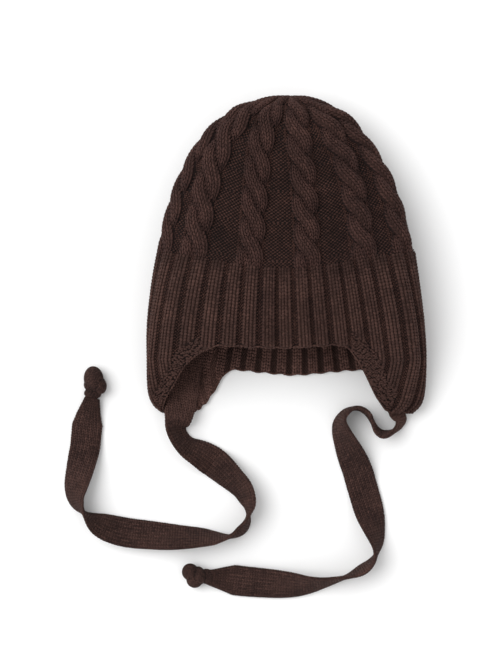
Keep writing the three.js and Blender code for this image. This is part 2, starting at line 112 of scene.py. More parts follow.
def smooth(knots, values, at):
    """A smooth curve through knots, read at many places. Slopes come from the neighbours."""
    knots, values, at = (np.asarray(part, float) for part in (knots, values, at))
    last = len(knots) - 1
    before = np.maximum(np.arange(last + 1) - 1, 0)
    after = np.minimum(np.arange(last + 1) + 1, last)
    slopes = (values[after] - values[before]) / (knots[after] - knots[before])
    i = np.clip(np.searchsorted(knots, at, side="left") - 1, 0, last - 1)
    span = knots[i + 1] - knots[i]
    t = np.clip((at - knots[i]) / span, 0, 1)
    t2, t3 = t * t, t * t * t
    return (
        (2 * t3 - 3 * t2 + 1) * values[i] + (t3 - 2 * t2 + t) * span * slopes[i]
        + (3 * t2 - 2 * t3) * values[i + 1] + (t3 - t2) * span * slopes[i + 1]
    )


def ramp(x, low, high):
    t = np.clip((x - low) / (high - low), 0, 1)
    return t * t * (3 - 2 * t)


def unit(vectors):
    return vectors / np.maximum(np.linalg.norm(vectors, axis=-1, keepdims=True), 1e-12)


def spread(*axes):
    """All combinations of the axes' values, as one flat list for each axis."""
    return [grid.ravel() for grid in np.meshgrid(*axes, indexing="ij")]


# MESHES
def mesh_piece(name, points, faces, tones):
    """A smooth piece from points in mm, groups of faces with as many corners each, and one
    tone a point, by which its yarn is darker or lighter."""
    points = np.asarray(points, float) * MM
    mesh = bpy.data.meshes.new(name)
    mesh.vertices.add(len(points))
    mesh.vertices.foreach_set("co", points.astype(np.float32).ravel())
    groups = [np.asarray(group, np.int32) for group in faces if len(group)]
    corners = np.concatenate([group.ravel() for group in groups])
    sizes = np.concatenate([np.full(len(group), group.shape[1]) for group in groups])
    starts = np.concatenate([[0], np.cumsum(sizes)[:-1]])
    mesh.loops.add(len(corners))
    mesh.loops.foreach_set("vertex_index", corners.astype(np.int32))
    mesh.polygons.add(len(sizes))
    mesh.polygons.foreach_set("loop_start", starts.astype(np.int32))
    mesh.polygons.foreach_set("use_smooth", np.ones(len(sizes), bool))
    attribute = mesh.attributes.new("tone", "FLOAT", "POINT")
    attribute.data.foreach_set("value", np.asarray(tones, np.float32))
    mesh.update(calc_edges=True)
    mesh.validate()
    piece = bpy.data.objects.new(name, mesh)
    bpy.context.scene.collection.objects.link(piece)
    return piece


def ring_faces(counts):
    """Faces of a closed stack of rings. A ring of one point is a pole."""
    quads, tris = [], []
    starts = np.concatenate([[0], np.cumsum(counts)[:-1]])
    for r in range(len(counts) - 1):
        a, b = counts[r], counts[r + 1]
        k = np.arange(max(a, b))
        following = (k + 1) % max(a, b)
        if a > 1 and b > 1:
            quads.append(np.stack([
                starts[r] + k, starts[r + 1] + k, starts[r + 1] + following,
                starts[r] + following,
            ], 1))
        elif b > 1:
            tris.append(np.stack([
                np.full(b, starts[r]), starts[r + 1] + k, starts[r + 1] + following,
            ], 1))
        else:
            tris.append(np.stack([
                starts[r] + k, np.full(a, starts[r + 1]), starts[r] + following,
            ], 1))
    return [np.concatenate(group) for group in (quads, tris) if group]


def ring_piece(name, rings, tones):
    rings = [np.atleast_2d(ring) for ring in rings]
    return mesh_piece(name, np.concatenate(rings), ring_faces([len(ring) for ring in rings]), tones)


# One loop of yarn, as it shows: a short grain, round in section, with two pointed ends.
# Its long way is y, its width x and its thickness z.
def grain(sides, stations):
    counts, rings = [1] + [sides] * len(stations) + [1], [np.array([[0.0, -1.0, 0.0]])]
    angles = np.arange(sides) * 2 * np.pi / sides + np.pi / sides
    for place, size in stations:
        rings.append(np.stack([
            size * np.cos(angles), np.full(sides, place), -size * np.sin(angles),
        ], 1))
    rings.append(np.array([[0.0, 1.0, 0.0]]))
    return np.concatenate(rings), ring_faces(counts)


# Grains by their [place along, size] between the pointed ends
LEG = grain(4, [(-0.55, 0.92), (0.1, 1.12), (0.7, 0.8)])
SHORT_LEG = grain(4, [(-0.45, 1.08), (0.45, 1.08)])
BUMP = grain(4, [(-0.5, 1.1), (0.5, 1.1)])
GRAIN_SCATTER = 0.08
STITCH_SINK = 0.15
# The tone of the fabric under the stitches on the ties and the cables' strands, where its
# painted shade is lightest
STRAND_TONE = 4
# No point is lower than this, so that the hat presses flat on the floor
LOWEST = 0.05


def sow(name, shape, centres, along, across, out, half_sizes, seed, curl=0.25, lift=0.0):
    """Many grains as one mesh. half_sizes are (length, width, thickness), one row or one each.
    lift lightens their tone."""
    template, faces = shape
    count = len(centres)
    half_length, half_width, half_height = np.broadcast_to(half_sizes, (count, 3)).T
    scatter = np.random.default_rng(seed)
    size = 1 + GRAIN_SCATTER * scatter.standard_normal(count)
    tone = np.clip(scatter.standard_normal(count), -2, 2) + lift
    x, y, z = template.T
    z = z - curl * y * y
    points = (
        centres[:, None, :]
        + across[:, None, :] * (x[None, :] * (half_width * size)[:, None])[..., None]
        + along[:, None, :] * (y[None, :] * (half_length * size)[:, None])[..., None]
        + out[:, None, :] * (z[None, :] * half_height[:, None])[..., None]
    )
    points[..., 2] = np.maximum(points[..., 2], LOWEST)
    shift = np.arange(count)[:, None, None] * len(template)
    joined = [(group[None, :, :] + shift).reshape(-1, group.shape[1]) for group in faces]
    return mesh_piece(name, points.reshape(-1, 3), joined, np.repeat(tone, len(template)))


# MATERIALS
CLOUD_SCALE = 55
CLOUD_SHARE = 0.45
TONE_SHARE = 0.055
# Where the three tones lie on the sum of fibre, cloud and tone
TONE_STOPS = (0.5, 0.72, 0.98)
ROUGHNESS = (0.82, 0.98)


def colour(red, green, blue):
    """A colour of the finished picture, given as 0 to 255, as a linear colour."""
    return tuple(
        (c / 255 / 12.92 if c / 255 <= 0.04045 else ((c / 255 + 0.055) / 1.055) ** 2.4)
        for c in (red, green, blue)
    ) + (1.0,)


def yarn(name, dark, middle, light, sheen=0.3, fibre_scale=1400, fibre_depth=0.0004):
    """Soft brushed yarn: three tones of one dye, fibres as fine bump, and a low sheen."""
    material = bpy.data.materials.new(name)
    material.use_nodes = True
    nodes, links = material.node_tree.nodes, material.node_tree.links
    shader = nodes["Principled BSDF"]
    place = nodes.new("ShaderNodeTexCoord")

    def noise(**settings):
        texture = nodes.new("ShaderNodeTexNoise")
        for socket, value in settings.items():
            texture.inputs[socket].default_value = value
        links.new(place.outputs["Object"], texture.inputs["Vector"])
        return texture.outputs["Fac"]

    def add_share(value, share, other):
        """value times share, and other on top."""
        sum_node = nodes.new("ShaderNodeMath")
        sum_node.operation = "MULTIPLY_ADD"
        links.new(value, sum_node.inputs[0])
        sum_node.inputs[1].default_value = share
        links.new(other, sum_node.inputs[2])
        return sum_node.outputs["Value"]

    tone = nodes.new("ShaderNodeAttribute")
    tone.attribute_name = "tone"
    cloud = noise(Scale=CLOUD_SCALE, Detail=3)
    fibre = noise(Scale=fibre_scale, Detail=4, Roughness=0.65, Distortion=0.6)
    toned = add_share(tone.outputs["Fac"], TONE_SHARE, fibre)
    dye = nodes.new("ShaderNodeValToRGB")
    stops = dye.color_ramp.elements
    stops[0].position, stops[0].color = TONE_STOPS[0], colour(*dark)
    stops[1].position, stops[1].color = TONE_STOPS[2], colour(*light)
    stops.new(TONE_STOPS[1]).color = colour(*middle)
    links.new(add_share(cloud, CLOUD_SHARE, toned), dye.inputs["Fac"])
    links.new(dye.outputs["Color"], shader.inputs["Base Color"])
    bump = nodes.new("ShaderNodeBump")
    bump.inputs["Strength"].default_value = 0.6
    bump.inputs["Distance"].default_value = fibre_depth
    links.new(fibre, bump.inputs["Height"])
    links.new(bump.outputs["Normal"], shader.inputs["Normal"])
    rough = nodes.new("ShaderNodeMapRange")
    rough.inputs["To Min"].default_value, rough.inputs["To Max"].default_value = ROUGHNESS
    links.new(fibre, rough.inputs["Value"])
    links.new(rough.outputs["Result"], shader.inputs["Roughness"])
    shader.inputs["Specular IOR Level"].default_value = 0.2
    shader.inputs["Sheen Weight"].default_value = sheen
    shader.inputs["Sheen Roughness"].default_value = 0.45
    shader.inputs["Sheen Tint"].default_value = colour(*light)
    return material


# Each yarn by its dark, middle and light tone. The inner one is painted light: a lighter copy,
# because it is seen in the hat's shade. The deep one is painted shade: the fabric under the
# stitches, darkened for the shaded gaps between them.
CABLE_YARN = yarn("cable_yarn", (38, 23, 20), (58, 38, 34), (79, 54, 48))
GROUND_YARN = yarn("ground_yarn", (33, 18, 15), (53, 33, 28), (76, 51, 44), sheen=0.22)
RIB_YARN = yarn("rib_yarn", (42, 26, 22), (62, 42, 37), (82, 57, 50))
INNER_LIT_YARN = yarn("inner_lit_yarn", (62, 43, 38), (91, 65, 59), (114, 84, 76))
TIE_YARN = yarn(
    "tie_yarn", (36, 22, 20), (56, 38, 34), (78, 55, 49), fibre_scale=1800, fibre_depth=0.0003
)
DEEP_SHADE_YARN = yarn("deep_shade_yarn", (15, 8, 7), (30, 18, 16), (56, 38, 33), sheen=0.1)


def dress(piece, material, slot, *nodes):
    """Gives a piece its finish and its body, and hides the solids that it stands for."""
    piece.data.materials.append(material)
    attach(piece, "root")
    if nodes:
        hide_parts(*nodes)
    return piece


# TIES
# The section's edges are nearly square across, and round through
TIE_SQUARENESS = (0.55, 0.8)


class Strap:
    """A flat strap along its route, read at a length from its sewn end and across its width."""

    def __init__(self, route, fold):
        self.route = np.array(route, float)
        self.fold = fold
        steps = np.hypot(*np.diff(self.route[:, :2], axis=0).T)
        self.knots = np.concatenate([[0], np.cumsum(steps)])
        self.length = self.knots[-1]

    def read(self, column, at):
        return smooth(self.knots, self.route[:, column], np.clip(at, 0, self.length))

    def halves(self, at):
        gather = np.clip((at / self.length - 1 + TIE_GATHER) / TIE_GATHER, 0, 1)
        width = TIE_WIDTH + gather * (TIE_NECK_WIDTH - TIE_WIDTH)
        thickness = TIE_THICKNESS + gather * (TIE_NECK_THICKNESS - TIE_THICKNESS)
        if self.fold:
            begins, full, opens, is_open = self.fold
            folded = ramp(at, begins, full) - ramp(at, opens, is_open)
            width = width + folded * (FOLDED_WIDTH - TIE_WIDTH)
            thickness = thickness + folded * (FOLDED_THICKNESS - TIE_THICKNESS)
        return width / 2, thickness / 2

    def frame(self, at):
        half_width, half_thickness = self.halves(at)
        roll = np.radians(self.read(3, at))
        reach = half_width * np.abs(np.sin(roll)) + half_thickness * np.abs(np.cos(roll))
        centre = np.stack([
            self.read(0, at), self.read(1, at), self.read(2, at) + reach + FLOOR_CLEARANCE,
        ], -1)
        dx = self.read(0, at + 1) - self.read(0, at - 1)
        dy = self.read(1, at + 1) - self.read(1, at - 1)
        leftward = unit(np.stack([-dy, dx, np.zeros_like(dx)], -1))
        upward = np.array([0.0, 0.0, 1.0])
        across = leftward * np.cos(roll)[..., None] - upward * np.sin(roll)[..., None]
        face = leftward * np.sin(roll)[..., None] + upward * np.cos(roll)[..., None]
        return centre, across, face

    def point(self, at, turn, swell=0.0):
        """A place on the skin: turn goes once round the section, from 0 to 1."""
        half_width, half_thickness = self.halves(at)
        centre, across, face = self.frame(at)
        angle = turn * 2 * np.pi
        c, s = np.cos(angle), np.sin(angle)
        wide = np.sign(c) * np.abs(c) ** TIE_SQUARENESS[0] * (half_width + swell)
        deep = np.sign(s) * np.abs(s) ** TIE_SQUARENESS[1] * (half_thickness + swell)
        return centre + across * wide[..., None] + face * deep[..., None]


TIE_RINGS = 160
TIE_SIDES = 28
TIE_END_ROUNDING = 3.0
TIE_FULL_AT = 60
TIE_BASE_INSET = -0.45
TIE_STITCH_INSET = -0.3
TIE_LEG_PITCH = 1.22
TIE_ROW_PITCH = 1.75
TIE_FIRST_ROW = 1.2
TIE_LEG = (1.3, 0.62, 0.5)
TIE_LEG_LEAN = math.radians(19)
TIE_LEG_STRETCH = (0.55, 2.4)
# The sewn stretch, which lies in the ear flap's shade, is painted lighter: how much, and where
# that fades out
SEWN_PAINTED_LIGHT = 3.5
SEWN_STRETCH = (40, 56)
TIE_FLECK = 0.7
# The two legs of a stitch catch the light unlike, which draws fine lines along a tie
TIE_STRIPE = 1.1


def tie_body(name, strap):
    """The knitted strap under its stitches, with rounded ends."""
    turns = np.arange(TIE_SIDES) / TIE_SIDES
    rings = []
    for place in np.linspace(0, strap.length, TIE_RINGS):
        from_end = min(place, strap.length - place)
        shrink = math.sqrt(max(1 - (1 - min(from_end / TIE_END_ROUNDING, 1)) ** 2, 0.02))
        skin = strap.point(np.full(TIE_SIDES, place), turns, TIE_BASE_INSET)
        middle = skin.mean(0)
        rings.append(middle + (skin - middle) * shrink)
    rings.insert(0, rings[0].mean(0))
    rings.append(rings[-1].mean(0))
    return ring_piece(f"{name}_strap", rings, np.full(TIE_RINGS * TIE_SIDES + 2, STRAND_TONE))


def tie_stitches(name, strap, seed):
    """Columns of legs all round the section, evenly spaced, in rows along the strap."""
    fine = np.linspace(0, 1, 721)
    section = strap.point(np.full(len(fine), float(TIE_FULL_AT)), fine)
    lengths = np.concatenate([[0], np.cumsum(np.linalg.norm(np.diff(section, axis=0), axis=1))])
    columns = 2 * round(lengths[-1] / TIE_LEG_PITCH / 2)
    column_turns = np.interp((np.arange(columns) + 0.5) / columns * lengths[-1], lengths, fine)
    rows = np.arange(TIE_FIRST_ROW, strap.length - TIE_FIRST_ROW, TIE_ROW_PITCH)
    at, turn = spread(rows, column_turns)
    side = np.tile(np.where(np.arange(columns) % 2, 1.0, -1.0), len(rows))

    def place(step=0.0, round_step=0.0):
        return strap.point(at + step, turn + round_step, TIE_STITCH_INSET)

    centres = place()
    along = place(0.4) - place(-0.4)
    stretch = np.linalg.norm(along, axis=1) / 0.8
    along = unit(along)
    around = unit(place(0, 0.004) - place(0, -0.004))
    out = unit(np.cross(around, along))
    wrong = np.einsum("ij,ij->i", out, centres - strap.frame(at)[0]) < 0
    out[wrong] *= -1
    leg = unit(along * math.cos(TIE_LEG_LEAN) + around * (side * math.sin(TIE_LEG_LEAN))[:, None])
    width = np.minimum(strap.halves(at)[0] / (TIE_WIDTH / 2), 1)
    sizes = np.stack([
        TIE_LEG[0] * np.clip(stretch, *TIE_LEG_STRETCH), TIE_LEG[1] * width,
        np.full(len(at), TIE_LEG[2]),
    ], 1)
    across = unit(np.cross(leg, out))
    fleck = np.random.default_rng(seed + 5).normal(0, TIE_FLECK, len(at))
    # Painted light on the sewn stretch, random flecks, and painted lines where the two legs catch
    # the light unlike
    lift = SEWN_PAINTED_LIGHT * (1 - ramp(at, *SEWN_STRETCH)) + fleck + TIE_STRIPE * side
    return sow(f"{name}_stitches", SHORT_LEG, centres, leg, across, out, sizes, seed, lift=lift)


def make_tie(name, route, fold, seed):
    strap = Strap(route, fold)
    body = dress(tie_body(name, strap), DEEP_SHADE_YARN, "tie_knit", name)
    stitches = dress(tie_stitches(name, strap, seed), TIE_YARN, "tie_knit")
    return body, stitches, strap.frame(np.linspace(0, strap.length, 160))[0] * MM


# Knots: lumps [x, y, z, half length, half width, half height, turn]. The last of each is the
# neck, where the tie goes in.
KNOT_LEFT = [
    [-126.9, -81.6, 6.6, 6.4, 8.2, 6.4, 6],
    [-122.9, -85.8, 6, 4.4, 5.8, 5.6, 14],
    [-128.6, -85.6, 5.6, 4.8, 4.6, 5.2, -8],
    [-127.7, -91.4, 4.2, 5.6, 3.6, 3.6, -4],
]
KNOT_RIGHT = [
    [-63.1, -209.2, 6.4, 5.4, 5.6, 6.2, 25],
    [-60.4, -214.7, 6, 5.2, 4.8, 5.8, -20],
    [-57.6, -211.6, 6.4, 4.6, 6, 6, 8],
    [-52.6, -212.2, 4.6, 4.6, 4.9, 4.1, 0],
]
# The way the yarn runs in each lump, which the stitches' rows go round
KNOT_TURNS = [(0.9, 0.45), (-0.5, 0.85), (0.75, 0.65), (0, 1)]
KNOT_VOXEL = 0.55
KNOT_SOFTENING = 2
KNOT_STITCH_INSET = 0.25
# Stitches stay this high, and outside the other lumps by this share of them, squared
KNOT_LOWEST = 1
KNOT_CLEAR = 1.04


def make_knot(name, lumps):
    """The knot's body: round lumps melted together."""
    parts = []
    for x, y, z, half_length, half_width, half_height, turn in lumps:
        bpy.ops.mesh.primitive_uv_sphere_add(segments=40, ring_count=24, radius=MM)
        lump = bpy.context.object
        lump.scale = (half_length, half_width, half_height)
        lump.rotation_euler = (0, 0, math.radians(turn))
        lump.location = (x * MM, y * MM, z * MM)
        bpy.ops.object.transform_apply(location=True, rotation=True, scale=True)
        parts.append(lump)
    for part in parts:
        part.select_set(True)
    bpy.context.view_layer.objects.active = parts[0]
    bpy.ops.object.join()
    knot = bpy.context.object
    knot.name = knot.data.name = name
    remesh = knot.modifiers.new("remesh", "REMESH")
    remesh.mode = "VOXEL"
    remesh.voxel_size = KNOT_VOXEL * MM
    knot.modifiers.new("soften", "SMOOTH").iterations = KNOT_SOFTENING
    for modifier in ("remesh", "soften"):
        bpy.ops.object.modifier_apply(modifier=modifier)
    bpy.ops.object.shade_smooth()
    bpy.ops.object.select_all(action="DESELECT")
    return knot


def turned(degrees):
    c, s = math.cos(math.radians(degrees)), math.sin(math.radians(degrees))
    return np.array([[c, -s, 0], [s, c, 0], [0, 0, 1]])


def inside_lump(points, lump):
    """How deep in a lump points are: under 1 inside it, 1 on it."""
    return (((points - lump[:3]) @ turned(lump[6]) / lump[3:6]) ** 2).sum(1)


def knot_stitches(name, lumps, seed):
    """Stitches over a knot: rows go round each lump, square to the yarn's own way there."""
    upright = np.array([0, 0, 1.0])
    found = []
    for k, lump in enumerate(lumps):
        spin, sizes = turned(lump[6]).T, np.array(lump[3:6])
        pole = unit(np.array([*KNOT_TURNS[k], 0.0]))
        second = np.cross(upright, pole)
        rows = int(np.pi * sizes.mean() / TIE_LEG_PITCH)
        for row in range(1, rows):
            lean = np.pi * row / rows
            count = max(int(2 * np.pi * math.sin(lean) * sizes.mean() / TIE_ROW_PITCH), 3)
            angle = (np.arange(count) + 0.5 * (row // 2 % 2)) * 2 * np.pi / count
            c, s = np.cos(angle)[:, None], np.sin(angle)[:, None]
            flat = math.cos(lean) * pole + math.sin(lean) * (c * second + s * upright)
            point = (flat * sizes) @ spin + lump[:3]
            out = unit((flat / sizes) @ spin)
            way = unit(((c * upright - s * second) * sizes) @ spin)
            shown = point[:, 2] > KNOT_LOWEST
            for other in lumps[:k] + lumps[k + 1:]:
                shown &= inside_lump(point, other) > KNOT_CLEAR
            side = math.sin(TIE_LEG_LEAN) * (1 if row % 2 else -1)
            leg = unit(way * math.cos(TIE_LEG_LEAN) + np.cross(out, way) * side)
            found.append(np.hstack([point - out * KNOT_STITCH_INSET, leg, out])[shown])
    centres, leg, out = np.hsplit(np.concatenate(found), 3)
    piece = sow(name, SHORT_LEG, centres, leg, unit(np.cross(leg, out)), out, TIE_LEG, seed)
    return dress(piece, TIE_YARN, "tie_knit")


def make_ties():
    for side, route, fold, lumps, length, seed in (
        ("left", TIE_LEFT_ROUTE, None, KNOT_LEFT, TIE_LEFT_LENGTH, 11),
        ("right", TIE_RIGHT_ROUTE, TIE_RIGHT_FOLD, KNOT_RIGHT, TIE_RIGHT_LENGTH, 12),
    ):
        body, stitches, path = make_tie(f"tie_{side}", route, fold, seed)
        knot = make_knot(f"knot_{side}_yarn", lumps)
        dress(knot, DEEP_SHADE_YARN, "tie_knit", f"knot_{side}")
        knit = knot_stitches(f"knot_{side}_stitches", lumps, seed + 40)


make_ties()

# THE HAT'S FABRIC, from the part's source. A place is its distance w round the fabric from
# the middle of the front, and its row in the table of sections.
REPEATS = 10
REPEAT_WIDTH = 42
ROUND = REPEATS * REPEAT_WIDTH
HALF_ROUND = ROUND / 2
FRONT_MIDDLE = 6
MIDDLE_EASE = 0.05
TOP_ROUNDNESS = 2.15
UNDER_ROUNDNESS = 4.6
# Sections down the hat: [y, left x, right x, top z, z of the widest place, z underneath]
SECTIONS = np.array([
    [101.6, 3.5, 3.5, 27, 27, 27], [100.9, -6, 12, 30, 26.5, 22.5],
    [98.8, -14.5, 18.5, 32.5, 26, 18], [95.5, -24, 25.5, 35, 25, 13.5],
    [90.5, -34, 34.5, 38, 24, 9], [82, -45.5, 44.8, 41.5, 23, 5.2],
    [71.5, -55.5, 53.2, 44.5, 22.5, 2.9], [59.5, -63, 61.8, 47, 22.5, 2],
    [45, -70, 69.4, 49, 23, 1.8], [30, -75.3, 75, 51, 24, 1.8],
    [15, -79, 78.8, 54, 25.5, 1.8], [0, -82.2, 81.6, 58, 27, 1.8],
    [-12, -84.4, 83.4, 61, 28, 1.8], [-26, -86.4, 85.4, 62, 28, 1.8],
    [-46, -88.6, 88, 57, 25.5, 1.8], [-69, -89.3, 89.4, 43.4, 19, 1.8],
    [-88.4, -89.3, 89.1, 26, 12.5, 1.8], [-97.5, -86.5, 87, 19.5, 10, 1.8],
    [-103.4, -80, 81.2, 16, 8.5, 1.8],
], float)
# The rim, round the hat: [w, y]
RIM = np.array([
    [-222, -78.4], [-210, -79], [-186, -77.2], [-168, -75.6], [-161, -76.6], [-157, -80],
    [-149.5, -89.3], [-143, -95.5], [-135.5, -99.9], [-126.5, -102.8], [-116, -103.5],
    [-102, -103.2], [-95, -100.8], [-90, -97.2], [-84, -91], [-78, -84.6], [-72.3, -77.2],
    [-66.5, -71.2], [-59.5, -65.9], [-52, -62], [-43, -60.4], [0, -61.8], [42, -60],
    [49, -60.8], [58.4, -70], [66.5, -80.5], [77, -93.8], [86, -100.4], [95, -103.2],
    [118, -103.5], [127, -102.7], [134, -100], [142, -93.8], [149, -86.5], [153, -80.5],
    [157, -76.8], [164, -75.6], [186, -77.2], [210, -79], [222, -78.4],
], float)
JOIN_Y = -10.4
JOIN_LIFT = 11
LAST = len(SECTIONS) - 1
ROWS_PER_SECTION = 20
CHART_ROWS = LAST * ROWS_PER_SECTION
W_STEP = 0.5
CHART_COLUMNS = int(ROUND / W_STEP)
chart_rows = np.linspace(0, LAST, CHART_ROWS + 1)
chart_w = np.arange(CHART_COLUMNS) * W_STEP


def section_value(column, rows):
    return smooth(np.arange(LAST + 1), SECTIONS[:, column], rows)


def quarter(half_width, half_height, roundness, shares):
    """Places on a rounded quarter section at shares of its length from its middle."""
    angle = np.linspace(0, np.pi / 2, 121)
    x = half_width * np.sin(angle) ** (2 / roundness)
    z = half_height * np.maximum(np.cos(angle), 0) ** (2 / roundness)
    lengths = np.concatenate([[0], np.cumsum(np.hypot(np.diff(x), np.diff(z)))])
    target = np.clip(shares, 0, 1) * lengths[-1]
    return np.interp(target, lengths, x), np.interp(target, lengths, z)


def from_front(w):
    """w as a distance to either side of the front, from -210 to 210."""
    return np.mod(w + HALF_ROUND, ROUND) - HALF_ROUND


def turn_of(w):
    """Which half of the section w is on, and how far along it, from -0.5 to 0.5."""
    turn = np.mod((w - FRONT_MIDDLE) / ROUND + 0.25, 1)
    upper = turn < 0.5
    return upper, np.where(upper, turn * 2 - 0.5, 0.5 - (turn - 0.5) * 2)


def make_chart():
    """The fabric's middle surface and its outward direction, on a fine grid of rows and w."""
    upper, u = turn_of(chart_w)
    eased = u * (1 - MIDDLE_EASE * (1 - 4 * u * u))
    places = np.zeros((CHART_ROWS + 1, CHART_COLUMNS, 3))
    values = [section_value(column, chart_rows) for column in range(6)]
    for k, (y, left, right, top, widest, under) in enumerate(zip(*values)):
        for half, edge, roundness in (
            (upper, top, TOP_ROUNDNESS), (~upper, under, UNDER_ROUNDNESS),
        ):
            across, up = quarter(
                (right - left) / 2, abs(edge - widest), roundness, np.abs(eased[half]) * 2
            )
            places[k, half, 0] = (left + right) / 2 + np.sign(eased[half]) * across
            places[k, half, 2] = widest + np.sign(edge - widest) * up
        places[k, :, 1] = y
    down = np.zeros_like(places)
    down[2:-2] = places[4:] - places[:-4]
    down[:2], down[-2:] = down[2], down[-3]
    around = np.roll(places, -3, axis=1) - np.roll(places, 3, axis=1)
    around[:2] = around[2]
    return places, unit(np.cross(down, around))


places, outward = make_chart()


def sample(grid, rows, w, row_span=LAST):
    """Reads a chart between its points. Rows stop at its ends and w goes round."""
    r = np.clip(np.asarray(rows, float) / row_span, 0, 1) * (grid.shape[0] - 1)
    c = np.mod(w, ROUND) / W_STEP
    r0 = np.minimum(r.astype(int), grid.shape[0] - 2)
    c0 = np.floor(c).astype(int) % CHART_COLUMNS
    c1 = (c0 + 1) % CHART_COLUMNS
    fr, fc = r - r0, c - np.floor(c)
    if grid.ndim == 3:
        fr, fc = fr[..., None], fc[..., None]
    top = grid[r0, c0] * (1 - fc) + grid[r0, c1] * fc
    low = grid[r0 + 1, c0] * (1 - fc) + grid[r0 + 1, c1] * fc
    return top * (1 - fr) + low * fr


def row_at(y):
    return np.interp(-np.asarray(y, float), -section_value(0, chart_rows), chart_rows)


def fabric(rows, w, height):
    """A place of the fabric raised by height out of the hat, flat where it meets the floor."""
    rows, w = np.broadcast_arrays(np.asarray(rows, float), np.asarray(w, float))
    points = sample(places, rows, w) + sample(outward, rows, w) * np.asarray(height)[..., None]
    points[..., 2] = np.maximum(points[..., 2], LOWEST)
    return points


def join_y(w):
    return JOIN_Y + JOIN_LIFT * (1 - np.cos(2 * np.pi * turn_of(w)[1])) / 2


def rim_y(w):
    return smooth(RIM[:, 0], RIM[:, 1], from_front(w))


# Lengths down each line of the fabric, from the crown's top, and the rows at even lengths
down_lengths = np.concatenate([
    np.zeros((1, CHART_COLUMNS)),
    np.cumsum(np.linalg.norm(np.diff(places, axis=0), axis=2), axis=0),
])


def length_at(rows, w):
    return sample(down_lengths, rows, w)


CROWN_SHARES = 240
BAND_REACH = 125
BAND_STEPS = 250
join_rows = row_at(join_y(chart_w))
join_lengths = length_at(join_rows, chart_w)


def rows_at(lengths):
    """Rows at lengths down the fabric, which are given for each column of the chart."""
    return np.stack([
        np.interp(own, down_lengths[:, j], chart_rows) for j, own in enumerate(lengths)
    ], 1)


crown_steps = np.linspace(0, 1, CROWN_SHARES + 1)
band_steps = np.linspace(0, BAND_REACH, BAND_STEPS + 1)
crown_table = rows_at([crown_steps * own for own in join_lengths])
band_table = rows_at([own + band_steps for own in join_lengths])
rim_lengths = length_at(row_at(rim_y(chart_w)), chart_w) - join_lengths

# Forty ribs go round the band, and the front is drawn wider than the back. A place on the band
# is its rib number q, whole on a rib's middle, and its length below the crown's foot.
RIB_COUNT = REPEATS * 4
FRONT_RIBS = [
    -96, -83.2, -70.4, -56.4, -43.2, -30.3, -18.3, -5.7, 4.2, 17, 26.9, 39.6, 50.2, 61.5, 73.6,
    89, 101.5,
]
BACK_GAPS = RIB_COUNT + 1 - len(FRONT_RIBS)
rib_middles = np.concatenate([
    FRONT_RIBS[:-1], np.linspace(FRONT_RIBS[-1], FRONT_RIBS[0] + ROUND, BACK_GAPS + 1),
])
# The front's ribs fan out on their way down
FAN, FAN_SQUARE, FAN_LIMIT, FAN_REACH = 0.08, 0.0011, 70, 140
# and the back's too, near the rim
BACK_FAN, BACK_REACH = 0.0022, 105


def fanned(w, length):
    way = np.clip(length, 0, FAN_LIMIT)
    turn = from_front(w)
    front = (FAN * way + FAN_SQUARE * way * way) * np.sin(np.pi * np.clip(turn / FAN_REACH, -1, 1))
    behind = np.clip((HALF_ROUND - np.abs(turn)) / BACK_REACH, 0, 1)
    return front - np.sign(turn) * BACK_FAN * way * way * np.sin(np.pi * behind)


def rib_number(w):
    """q at the top of the band."""
    turn = np.mod(w - FRONT_RIBS[0], ROUND) + FRONT_RIBS[0]
    return np.interp(turn, rib_middles, np.arange(RIB_COUNT + 1))


def band_w(q, length):
    top = np.interp(np.mod(q, RIB_COUNT), np.arange(RIB_COUNT + 1), rib_middles)
    return top + fanned(top, length)


def rib_scale(q):
    """How wide the fabric is drawn at a rib number, next to a rib of common width."""
    return (band_w(q + 0.5, 0) - band_w(q - 0.5, 0)) % ROUND / RIB_PITCH


def crown_row(w, share):
    return sample(crown_table, share, w, 1)


def band_row(w, length):
    """Row at a length below the crown's foot."""
    return sample(band_table, length, w, BAND_REACH)


def rim_length(w):
    return np.interp(
        np.mod(w, ROUND), np.append(chart_w, ROUND), np.append(rim_lengths, rim_lengths[0])
    )


# RIBS, which the crown also turns into at its foot. Offsets across them are in mm of a rib of
# common width, and grow and shrink with the fabric.
RIB_PITCH = REPEAT_WIDTH / 4
BAND_HALF_WALL = 1.0
RIB_HALF = 3.8
RIB_RISE = 1.15
HOLLOW = -0.8
BAND_SINK = 0.6
RIB_COLUMNS = np.array([-2.85, -0.95, 0.95, 2.85])
PURL_COLUMNS = np.array([-0.7, 0.7])
INNER_COLUMNS = np.array([-2.4, -0.8, 0.8, 2.4])
INNER_PURLS = np.array([-1.5, 0, 1.5])
# Painted shade in the lining side's hollows, outside the ear flaps
HOLLOW_SHADE = -5
# The ribs' first rows, just under the crown, are as dark as the crown: by how much, and how far
RIB_START_SHADE = -2.5
RIB_START = 14
# The front rim's middle is a little higher than in the solids: by how much, and to where
RIM_LIFT = 1.5
RIM_LIFT_ENDS = (38, 56)
SCALLOP = 0.45
# From where to where in w a bumpy border runs along the ear flaps' front edges
LEFT_BORDER = (-97, -52)
RIGHT_BORDER = (50, 93)
BORDER_FADE = 4
BORDER_WIDTH = 9
RIGHT_BORDER_WIDER = 6
RIGHT_BORDER_WIDENS = (55, 80)


def rib_profile(q):
    """Height of the ribs over the fabric's middle surface."""
    off = (q - np.round(q)) * RIB_PITCH
    round_top = np.sqrt(np.maximum(1 - (off / (RIB_HALF + 0.5)) ** 2, 0))
    return HOLLOW + (RIB_RISE - HOLLOW) * round_top


